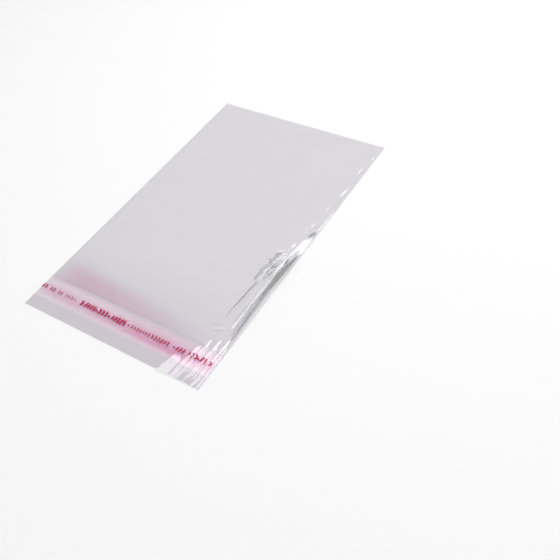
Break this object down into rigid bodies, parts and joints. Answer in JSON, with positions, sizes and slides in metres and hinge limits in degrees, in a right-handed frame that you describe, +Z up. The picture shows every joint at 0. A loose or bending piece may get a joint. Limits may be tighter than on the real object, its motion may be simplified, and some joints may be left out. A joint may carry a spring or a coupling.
{
  "type": "self-seal plastic bag",
  "caption": "Clear film bag lying flat with its flap open: a folded, side-welded pouch and an adhesive line under a pink peel-off liner.",
  "frame": {"origin": "middle of the bag's outline, on the surface that it lies on", "axes": "+X across the bag, +Y from the flap's free edge to the bottom fold, +Z up"},
  "size_m": [0.14, 0.2302, 0.003],
  "materials": {
    "film": "clear glossy oriented polypropylene film",
    "adhesive": "clear pressure-sensitive adhesive",
    "liner": "pink translucent release liner with crimson print"
  },
  "bodies": {
    "root": {"bag_film": "film", "adhesive_strip": "adhesive", "release_liner": "liner"}
  },
  "joints": []
}
